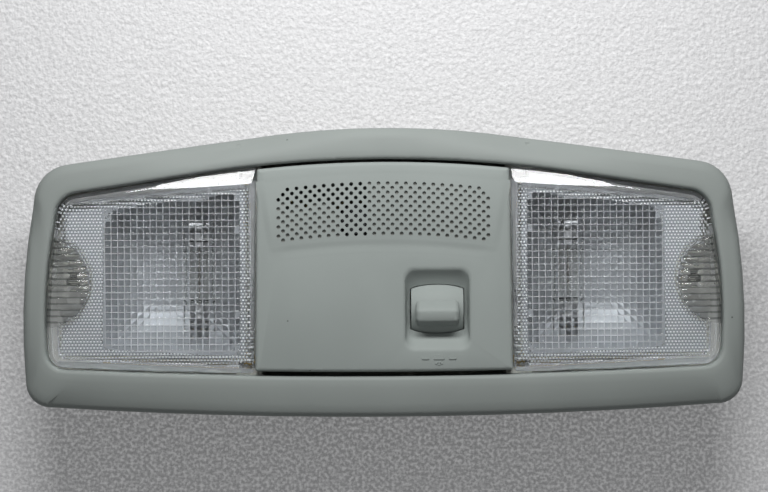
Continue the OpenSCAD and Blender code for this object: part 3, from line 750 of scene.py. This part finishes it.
class Prisms:
    """Closed upright prisms that end up in one mesh."""

    def __init__(self) -> None:
        """Starts with no prism."""
        self.vertices: list[Point3] = []
        self.faces: list[list[int]] = []

    def add(self, foot: Sequence[Point2], head: Sequence[Point2], low: float, high: float) -> None:
        """Adds a prism between two rings of equal number, counter-clockwise.

        Args:
            foot, head: Points of the lower and the upper ring.
            low, high: Heights of the two rings.
        """
        base, count = len(self.vertices), len(foot)
        for ring, z in ((foot, low), (head, high)):
            self.vertices += [(x * MM, y * MM, z * MM) for x, y in ring]
        self.faces.append([base + k for k in reversed(range(count))])
        self.faces.append([base + count + k for k in range(count)])
        for k in range(count):
            after = (k + 1) % count
            self.faces.append([base + k, base + after, base + count + after, base + count + k])

    def build(self, name: str) -> Object:
        """The mesh object of all prisms."""
        return mesh_object(name, self.vertices, self.faces)


def grid_block(
    name: str, x: Array, y: Array, lower: Array, upper: Array, keep: Array, sign: int = 1
) -> Object:
    """Makes a closed block between two heights over a grid of points.

    Args:
        name: The object's name.
        x, y: Places of the grid's points, counter-clockwise when seen from above.
        lower, upper: Heights of the two faces at each point.
        keep: True for each cell of the grid that the block fills.
        sign: 1 as it stands, or -1 to mirror it along X.

    Returns:
        The new object.
    """
    columns, rows = keep.shape
    used = np.zeros(x.shape, bool)
    for di, dj in ((0, 0), (1, 0), (0, 1), (1, 1)):
        used[di : di + columns, dj : dj + rows] |= keep
    count = int(used.sum())
    index = -np.ones(x.shape, int)
    index[used] = np.arange(count)
    vertices = np.concatenate([np.stack([sign * x[used], y[used], z[used]], 1) * MM for z in (lower, upper)])
    faces: list[tuple[int, ...]] = []
    for a, b in zip(*np.nonzero(keep)):
        quad = (index[a, b], index[a + 1, b], index[a + 1, b + 1], index[a, b + 1])
        faces += [quad[::-1], tuple(q + count for q in quad)]
    padded = np.pad(keep, 1)
    sides = {
        (-1, 0): ((0, 1), (0, 0)),
        (1, 0): ((1, 0), (1, 1)),
        (0, -1): ((0, 0), (1, 0)),
        (0, 1): ((1, 1), (0, 1)),
    }
    for (di, dj), (first, second) in sides.items():
        open_side = keep & ~padded[1 + di : 1 + di + columns, 1 + dj : 1 + dj + rows]
        for a, b in zip(*np.nonzero(open_side)):
            p = index[a + first[0], b + first[1]]
            q = index[a + second[0], b + second[1]]
            faces.append((p, q, q + count, p + count))
    return mesh_object(name, vertices, faces if sign > 0 else [face[::-1] for face in faces])


def smooth_by_angle(obj: Object, degrees: float) -> None:
    """Shades a mesh smooth except across edges sharper than an angle."""
    obj.data.shade_smooth()
    obj.data.set_sharp_from_angle(angle=math.radians(degrees))


def boolean(target: Object, tool: Object, operation: str) -> None:
    """Applies one boolean to the target's mesh and deletes the tool.

    Args:
        target: The object that changes.
        tool: The object that is joined to it or cut out of it.
        operation: UNION or DIFFERENCE.
    """
    modifier = target.modifiers.new("cut", "BOOLEAN")
    modifier.object = tool
    modifier.operation = operation
    modifier.solver = "MANIFOLD"
    graph = bpy.context.evaluated_depsgraph_get()
    result = bpy.data.meshes.new_from_object(target.evaluated_get(graph))
    target.modifiers.clear()
    old = target.data
    target.data = result
    bpy.data.meshes.remove(old)
    bpy.data.objects.remove(tool)


def welded_copy(node: Object, name: str) -> Object:
    """Copies a node's shape into a new object and joins its split vertices.

    Args:
        node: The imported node.
        name: The new object's name.

    Returns:
        The new object.
    """
    obj = linked(name, node.data.copy())
    work = bmesh.new()
    work.from_mesh(obj.data)
    bmesh.ops.remove_doubles(work, verts=work.verts, dist=WELD_DISTANCE)
    bmesh.ops.dissolve_degenerate(work, edges=work.edges, dist=WELD_DISTANCE)
    work.to_mesh(obj.data)
    work.free()
    return obj


class NodeSmoother:
    """A modifier that joins a node's split vertices and shades it smooth up to an angle."""

    def __init__(self) -> None:
        """Builds the node group once, for all nodes."""
        tree = bpy.data.node_groups.new("smooth_up_to_angle", "GeometryNodeTree")
        for way in ("INPUT", "OUTPUT"):
            tree.interface.new_socket("Geometry", in_out=way, socket_type="NodeSocketGeometry")
        nodes, links = tree.nodes, tree.links
        start = nodes.new("NodeGroupInput")
        end = nodes.new("NodeGroupOutput")
        weld = nodes.new("GeometryNodeMergeByDistance")
        weld.inputs["Distance"].default_value = 2 * WELD_DISTANCE
        faces = nodes.new("GeometryNodeSetShadeSmooth")
        edges = nodes.new("GeometryNodeSetShadeSmooth")
        edges.domain = "EDGE"
        edges.inputs["Shade Smooth"].default_value = False
        angle = nodes.new("GeometryNodeInputMeshEdgeAngle")
        sharp = nodes.new("FunctionNodeCompare")
        sharp.operation = "GREATER_THAN"
        sharp.inputs["B"].default_value = math.radians(SMOOTH_ANGLE)
        links.new(start.outputs[0], weld.inputs["Geometry"])
        links.new(weld.outputs[0], faces.inputs["Geometry"])
        links.new(faces.outputs[0], edges.inputs["Geometry"])
        links.new(angle.outputs["Unsigned Angle"], sharp.inputs["A"])
        links.new(sharp.outputs["Result"], edges.inputs["Selection"])
        links.new(edges.outputs[0], end.inputs[0])
        self.tree = tree

    def smooth(self, obj: Object) -> None:
        """Adds the modifier to one node."""
        modifier = obj.modifiers.new("smooth", "NODES")
        modifier.node_group = self.tree


@dataclass
class Workshop:
    """What every sub-assembly needs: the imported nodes, the finishes and the smoother."""

    nodes: dict[str, Object]
    palette: Palette
    smoother: NodeSmoother

    def finish_nodes(self, finishes: Mapping[Finish, Sequence[str]], start: str = "") -> None:
        """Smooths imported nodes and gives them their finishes.

        Args:
            finishes: The nodes' names by what they are made of.
            start: What the names start with.
        """
        for finish, names in finishes.items():
            for name in names:
                node = self.nodes[start + name]
                self.smoother.smooth(node)
                self.palette.dress(node, finish)
                log.info("node %s: %s", node.name, finish.name)

    def add_piece(self, obj: Object, body: Body, finish: Finish, slot: str) -> None:
        """Gives a new piece its finish and lets it ride on a body.

        Args:
            obj: The piece.
            body: The body that carries it.
            finish: What it is made of.
            slot: The record's material for it; not used.
        """
        self.palette.dress(obj, finish)
        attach(obj, body.value)
        log.info("piece %s on %s: %s", obj.name, body.value, finish.name)


# Sub-assemblies


@dataclass(frozen=True)
class Band:
    """The grille's raised band on the centre panel: an arch with a crowned section."""

    middle: float = 20.4
    arch_radius: float = 255.0
    half_width: float = 11.7
    face: float = 37.6
    rise: float = 0.5

    def crown(self, offset: Union[float, Array]) -> Union[float, Array]:
        """Rise of the band's section above the panel's face, at a distance from its middle."""
        return self.rise * (1 - (offset / self.half_width) ** 2)


@dataclass
class LampTrim:
    """The grey mouldings: bezel, centre panel and rocker, with a plain lamp sign below the rocker."""

    shop: Workshop
    band: Band = Band()
    sign_at: Point2 = (17.4, -27.75)
    sign_scale: float = 1.2
    sign_rise: float = 0.3
    sign_sunk: float = 0.1
    sign_draft: float = 0.9
    disc_radius: float = 1.5
    disc_steps: int = 14
    ray: Box = Box(-0.22, -1.45, 0.22, -0.5)
    ray_turns: Point3 = (-38, 0, 38)
    dashes: tuple[Box, Box] = (Box(2.6, 0.1, 4.6, 0.5), Box(-4.6, 0.1, -2.6, 0.5))

    def build(self) -> None:
        """Dresses the mouldings and adds the sign."""
        self.shop.finish_nodes({SHADED_BEZEL_TRIM: ["bezel"], TRIM: ["centre_panel", "door_switch_knob"]})
        self.shop.add_piece(self.sign(), Body.HOUSING, TRIM, "trim_plastic")

    def sign(self) -> Object:
        """Makes half a disc with three rays under it and a dash at each side, all narrower at their tops.

        Returns:
            The new object.
        """
        shapes = [arc((0.0, 0.0), self.disc_radius, 0.0, math.pi, self.disc_steps)]
        for turn in self.ray_turns:
            c, s = math.cos(math.radians(turn)), math.sin(math.radians(turn))
            shapes.append([(x * c - y * s, x * s + y * c) for x, y in self.ray.corners()])
        shapes += [dash.corners() for dash in self.dashes]
        prisms = Prisms()
        at = Vector(self.sign_at)
        for shape in shapes:
            foot = [at + Vector(p) * self.sign_scale for p in shape]
            middle = sum(foot, Vector((0, 0))) / len(foot)
            head = [middle + (p - middle) * self.sign_draft for p in foot]
            prisms.add(foot, head, self.band.face - self.sign_sunk, self.band.face + self.sign_rise)
        return prisms.build("moulded_mark")


@dataclass
class BandBlend:
    """The soft run-out of the grille's raised band into the panel, at both ends and along its foot."""

    shop: Workshop
    band: Band = Band()
    band_angle: float = 8.1
    end_angle: float = 8.72
    angle_steps: tuple[int, int, int] = (8, 90, 8)
    foot: Point3 = (-9.4, -11.8, -14.2)
    offset_steps: tuple[int, int] = (14, 24)
    dip: float = 0.1
    dip_fade: float = 1.0
    sunk: float = 0.02
    lift: float = 0.006
    depth: float = 0.6

    def build(self) -> None:
        """Adds the run-out to the housing."""
        inner, outer = self.band_angle, self.end_angle
        start, _, end = self.foot
        angles = stations((-outer, -inner, inner, outer), self.angle_steps)
        offsets = stations((end, start, self.band.half_width), self.offset_steps)
        angle, offset = np.meshgrid(angles, offsets, indexing="ij")
        radius = self.band.arch_radius + offset
        x = radius * np.sin(np.radians(angle))
        y = self.band.middle - self.band.arch_radius + radius * np.cos(np.radians(angle))
        upper = self.band.face + self.height(angle, offset) + self.lift
        past_end = np.abs(angle[:-1, :-1] + angle[1:, 1:]) / 2 > inner
        below_foot = (offset[:-1, :-1] + offset[1:, 1:]) / 2 < start
        blend = grid_block("band_run_out", x, y, upper - self.depth, upper, past_end | below_foot)
        smooth_by_angle(blend, SMOOTH_ANGLE)
        self.shop.add_piece(blend, Body.HOUSING, TRIM, "trim_plastic")

    def height(self, angle: Array, offset: Array) -> Array:
        """Works out how high the run-out stands.

        Args:
            angle: Angle from the lamp's middle, about the arch's centre, in degrees.
            offset: Distance outwards from the middle of the band.

        Returns:
            Rise above the panel's face.
        """
        start, low, end = self.foot
        band = np.maximum(self.band.crown(offset) - self.sunk, 0)
        edge = self.band.crown(start) - self.sunk
        inner = 1 - ease((np.abs(angle) - self.band_angle + self.dip_fade) / self.dip_fade)
        dip = self.dip * inner
        falling = edge - (edge + dip) * ease((start - offset) / (start - low))
        rising = -dip * (1 - ease((low - offset) / (low - end)))
        foot = np.where(offset > low, falling, rising)
        over = np.where(offset >= start, band, foot)
        outer = 1 - ease((np.abs(angle) - self.band_angle) / (self.end_angle - self.band_angle))
        return over * outer


@dataclass
class GrilleBacking:
    """The stubs that close the holes of the grille where the housing or the plate lies behind them, painted
    darker than the pale housing as shade in the holes.
    """

    shop: Workshop
    band: Band = Band()
    pitch: float = 1.445
    first_row: float = 28.3
    columns: int = 46
    rows: int = 11
    sunk: float = 0.8
    stub_radius: float = 0.585
    stub_length: float = 1.0
    stub_corners: int = 20
    shelf: Box = Box(-4.9, 7.6, 35.5, 30.6)
    plate: Box = Box(-33.8, 10.0, -14.1, 20.3)
    teeth: Box = Box(-33.8, 10.0, -14.1, 22.2)
    tooth_pitch: float = 4.9
    tooth_width: float = 2.6

    def build(self) -> None:
        """Adds the stubs behind both parts of the grille."""
        for name, behind in (("shelf_stubs", self.shelf.holds), ("plate_stubs", self.over_plate)):
            self.shop.add_piece(self.stubs(name, behind), Body.HOUSING, SHADED_STUB_PLASTIC, "body_plastic")

    def over_plate(self, x: float, y: float) -> bool:
        """True in front of the notched plate, whose teeth reach higher than the rest of it."""
        on_tooth = (x - self.plate.left) % self.tooth_pitch < self.tooth_width
        return (self.teeth if on_tooth else self.plate).holds(x, y)

    def hole_centres(self) -> list[Point2]:
        """Lays out the staggered holes along the arch, without the first two rows' corner holes.

        Returns:
            The holes' centres, row by row.
        """
        centres = []
        for row in range(self.rows + 1):
            for column in range(row % 2, self.columns + 1, 2):
                if row > 1 or 1 - row < column < self.columns - 1 + row:
                    x = (column - self.columns / 2) * self.pitch
                    sag = x * x / (2 * self.band.arch_radius)
                    centres.append((x, self.first_row - row * self.pitch - sag))
        return centres

    def stubs(self, name: str, behind: Callable[[float, float], bool]) -> Object:
        """Makes short round stubs, one in each hole that has something behind it.

        Args:
            name: The new object's name.
            behind: Tells whether something lies behind a place.

        Returns:
            The new object.
        """
        prisms = Prisms()
        for x, y in self.hole_centres():
            if behind(x, y):
                ring = arc((x, y), self.stub_radius, 0.0, 2 * math.pi, self.stub_corners)[:-1]
                offset = math.hypot(x, y - self.band.middle + self.band.arch_radius) - self.band.arch_radius
                top = self.band.face + self.band.crown(offset) - self.sunk
                prisms.add(ring, ring, top - self.stub_length, top)
        return prisms.build(name)


@dataclass
class Lens:
    """One clear lens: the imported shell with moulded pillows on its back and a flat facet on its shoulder."""

    shop: Workshop
    side: Side
    plan: LensPlan = LensPlan()
    window: tuple[Point3, ...] = (
        (45.7, -26.4, 3.2),
        (89.9, -24.2, 3.4),
        (88.6, 20.6, 6.4),
        (45.7, 25.8, 3.2),
    )
    border: tuple[Point3, ...] = (
        (42.8, -29.7, 0.8),
        (103.2, -27.0, 3.5),
        (105.0, -4.0, 60.0),
        (100.6, 22.0, 3.0),
        (42.6, 26.9, 0.8),
    )
    pillow_depth: float = 0.48
    pillow_flank: float = 0.2
    pillow_powers: tuple[int, int] = (2, 6)
    pillow_cuts: tuple[float, ...] = (-1.0, -0.84, -0.56, -0.2, 0.2, 0.56, 0.84)
    stipple_depth: float = 0.5
    stipple_cuts: tuple[float, ...] = (-1.0, -0.5, 0.0, 0.5)
    back_height: float = 34.93
    front_height: float = 37.133
    hinge_x: float = 40.0
    bury: float = 0.35
    facet_ends: Point2 = (36.0, 112.0)
    facet_edge: Point2 = (28.72, -0.0606)
    facet_slope: float = 0.35
    facet_reach: float = 9.0
    smooth_angle: float = 24.0
    same_plane: float = 0.99995

    def build(self) -> None:
        """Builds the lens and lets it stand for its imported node."""
        plan = self.plan
        node = self.shop.nodes[f"{self.side.label}_lens"]
        lens = welded_copy(node, f"{self.side.label}_lens_patterned")
        for pitch, cuts, form, zone in (
            (plan.pillow_pitch, self.pillow_cuts, self.pillow, self.in_window),
            (plan.stipple_pitch, self.stipple_cuts, self.dimple, self.in_border),
        ):
            boolean(lens, self.relief(pitch, cuts, form, zone), "UNION")
        boolean(lens, self.shoulder_cut(), "DIFFERENCE")
        smooth_by_angle(lens, self.smooth_angle)
        self.sharpen_flats(lens)
        body = Body.LEFT_LENS if self.side is Side.LEFT else Body.RIGHT_LENS
        self.shop.add_piece(lens, body, LENS_PLASTIC, "clear_lens")
        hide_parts(node.name)

    def shoulder_cut(self) -> Object:
        """Makes a block whose sloping lower face turns the shoulder under the arch into a flat facet.

        Returns:
            The block that is cut away.
        """
        x = np.array([[end, end] for end in self.facet_ends])
        level, slope = self.facet_edge
        edge = level + slope * (x - self.facet_ends[0])
        y = edge + [0, self.facet_reach]
        top = self.front_height - self.plan.tilt * (x - self.hinge_x)
        lower = top - self.facet_slope * (y - edge)
        upper = top + self.facet_reach
        return grid_block("shoulder_cut", x, y, lower, upper, np.array([[True]]), self.side.value)

    def sharpen_flats(self, lens: Object) -> None:
        """Keeps the edges round the flat front and round the shoulder's facet sharp.

        Args:
            lens: The finished lens.
        """
        lean = self.side.value * self.plan.tilt
        facet_lean = self.side.value * (self.plan.tilt - self.facet_slope * self.facet_edge[1])
        work = bmesh.new()
        work.from_mesh(lens.data)
        for slopes in ((lean, 0), (facet_lean, self.facet_slope)):
            flat = Vector((*slopes, 1)).normalized()
            for edge in work.edges:
                on_flat = [face.normal.dot(flat) > self.same_plane for face in edge.link_faces]
                if any(on_flat) and not all(on_flat):
                    edge.smooth = False
        work.to_mesh(lens.data)
        work.free()

    def in_window(self, x: Array, y: Array) -> Array:
        """True in the clear window over the reflector."""
        return inside(rounded_outline(self.window), x, y)

    def in_border(self, x: Array, y: Array) -> Array:
        """True in the stippled border, clear of the window and the finger pad."""
        pad = np.hypot(*(v - at for v, at in zip((x, y), self.plan.pad_centre))) < self.plan.pad_radius
        return inside(rounded_outline(self.border), x, y) & ~self.in_window(x, y) & ~pad

    def pillow(self, u: Array, v: Array, row: Array) -> Array:
        """Depth of a round pillow with steeper flanks, at -1 to 1 across its cell."""
        dome, flank = (0.5 * (u**power + v**power) for power in self.pillow_powers)
        return self.pillow_depth * (1 - (1 - self.pillow_flank) * dome - self.pillow_flank * flank)

    def dimple(self, u: Array, v: Array, row: Array) -> Array:
        """Depth of a small pyramid; every other row is shifted by half a cell."""
        shifted = np.where(row % 2 == 0, u, (u + 2) % 2 - 1)
        return self.stipple_depth * (1 - 0.5 * (np.abs(shifted) + np.abs(v)))

    def relief(
        self,
        pitch: Point2,
        cuts: tuple[float, ...],
        form: Callable[[Array, Array, Array], Array],
        zone: Callable[[Array, Array], Array],
    ) -> Object:
        """Makes a closed block with a field of cells below, whose upper face lies in the lens plate.

        Args:
            pitch: Cell size along X and Y.
            cuts: Places of the vertices across one cell, from -1 to 1.
            form: Depth below the plate at (u, v) in -1 to 1 across a cell, and the cell's row.
            zone: Says which faces to keep, by their centres.

        Returns:
            The block, mirrored to the lens's own side.
        """
        low, high = self.plan.grid_start, self.plan.grid_end
        across = len(cuts)
        columns, rows = (int((high[k] - low[k]) / pitch[k]) * across for k in (0, 1))
        i, j = np.meshgrid(np.arange(columns + 1), np.arange(rows + 1), indexing="ij")
        places = np.array(cuts)
        u, v = places[i % across], places[j % across]
        x = low[0] + (i // across + (u + 1) / 2) * pitch[0]
        y = low[1] + (j // across + (v + 1) / 2) * pitch[1]
        back = self.back_height - self.plan.tilt * (x - self.hinge_x)
        keep = zone((x[:-1, :-1] + x[1:, 1:]) / 2, (y[:-1, :-1] + y[1:, 1:]) / 2)
        lower = back - form(u, v, j // across)
        return grid_block("relief", x, y, lower, back + self.bury, keep, self.side.value)


@dataclass
class LampBowl:
    """Reflector, festoon bulb, leaves, push switch and clips, at one end."""

    shop: Workshop
    side: Side

    def build(self) -> None:
        """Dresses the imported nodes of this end."""
        finishes = {
            SILVER: ["reflector"],
            BULB_GLASS: ["bulb_glass"],
            CAP_METAL: ["bulb_caps", "contact_upper", "contact_lower"],
            FILAMENT: ["bulb_filament"],
            SWITCH_PLASTIC: ["push_switch", "plunger"],
            BRASS: ["lamp_bus_bar"],
            SPRING: ["upper_clip", "lower_clip"],
        }
        self.shop.finish_nodes(finishes, f"{self.side.label}_")


@dataclass
class RearBody:
    """The pale housing with what it carries between the two ends."""

    shop: Workshop

    def build(self) -> None:
        """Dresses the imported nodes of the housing."""
        finishes = {
            HOUSING_PLASTIC: ["rear_housing", "microphone_holder"],
            SWITCH_PLASTIC: ["door_switch_base"],
            BLACK_PLASTIC: ["door_switch_slider"],
            BRASS: ["supply_bus_bar", "ground_bus_bar", "door_bus_bar", "microphone_bus_bars"],
            PLATED: ["microphone", "housing_screws", "panel_screws"],
            RUBBER: ["microphone_boot"],
        }
        self.shop.finish_nodes(finishes)


@dataclass(frozen=True)
class BarLight:
    """A rectangular light that faces the lamp; place and size in metres, radiance in W/sr/m2."""

    name: str
    place: Point3
    size: Point2
    radiance: float

    def build(self) -> None:
        """Adds the light to the scene."""
        data = bpy.data.lights.new(self.name, "AREA")
        data.shape = "RECTANGLE"
        data.size, data.size_y = self.size
        data.energy = self.radiance * math.pi * self.size[0] * self.size[1]
        obj = linked(self.name, data)
        obj.location = self.place
        obj.rotation_euler = (-Vector(self.place)).to_track_quat("-Z", "Y").to_euler()


@dataclass
class Studio:
    """Floor, bright bar beyond the arched edge, weak soft light, and camera straight above the face."""

    palette: Palette
    look_at: Point3 = (0.16, 8.4, 38.0)
    frame_width: float = 243.2
    camera_height: float = 620.0
    camera_turn: float = -0.37
    sensor: float = 36.0
    clip_end_metres: float = 10.0
    floor_reach_metres: float = 3.0
    lights: tuple[BarLight, ...] = (
        BarLight("key", (0.0, 0.22, 0.26), (0.32, 0.055), 21.2),
        BarLight("fill", (0.0, -0.35, 0.75), (0.8, 0.4), 0.34),
    )
    sky: Colour = (0.97, 0.98, 1.0)
    sky_strength: float = 0.13

    def build(self) -> None:
        """Makes the camera, the floor and the lights."""
        self.camera()
        self.floor()
        for light in self.lights:
            light.build()
        self.world()

    def camera(self) -> None:
        """Looks straight down, framed on the face's width."""
        data = bpy.data.cameras.new("camera")
        data.sensor_width = self.sensor
        data.lens = self.sensor * self.camera_height / self.frame_width
        data.clip_end = self.clip_end_metres
        obj = linked("camera", data)
        x, y, z = self.look_at
        obj.location = Vector((x, y, z + self.camera_height)) * MM
        obj.rotation_euler = (0, 0, math.radians(self.camera_turn))
        bpy.context.scene.camera = obj

    def floor(self) -> None:
        """One wide plane under the lamp's feet."""
        reach = self.floor_reach_metres
        corners = [(x, y, 0) for x, y in Box(-reach, -reach, reach, reach).corners()]
        plane = mesh_object("floor", corners, [(0, 1, 2, 3)])
        self.palette.dress(plane, FLOOR)

    def world(self) -> None:
        """An even, faint sky."""
        world = bpy.data.worlds.new("world")
        world.use_nodes = True
        background = world.node_tree.nodes["Background"]
        background.inputs["Color"].default_value = (*self.sky, 1.0)
        background.inputs["Strength"].default_value = self.sky_strength
        bpy.context.scene.world = world


def main() -> None:
    """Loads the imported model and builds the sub-assemblies in order."""
    logging.basicConfig(level=logging.INFO, format="%(message)s")
    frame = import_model()
    bpy.context.scene.view_settings.view_transform = "Standard"
    palette = Palette()
    Studio(palette).build()
    shop = Workshop(frame["nodes"], palette, NodeSmoother())
    LampTrim(shop).build()
    RearBody(shop).build()
    BandBlend(shop).build()
    GrilleBacking(shop).build()
    for side in Side:
        LampBowl(shop, side).build()
        Lens(shop, side).build()


if __name__ == "__main__":
    main()
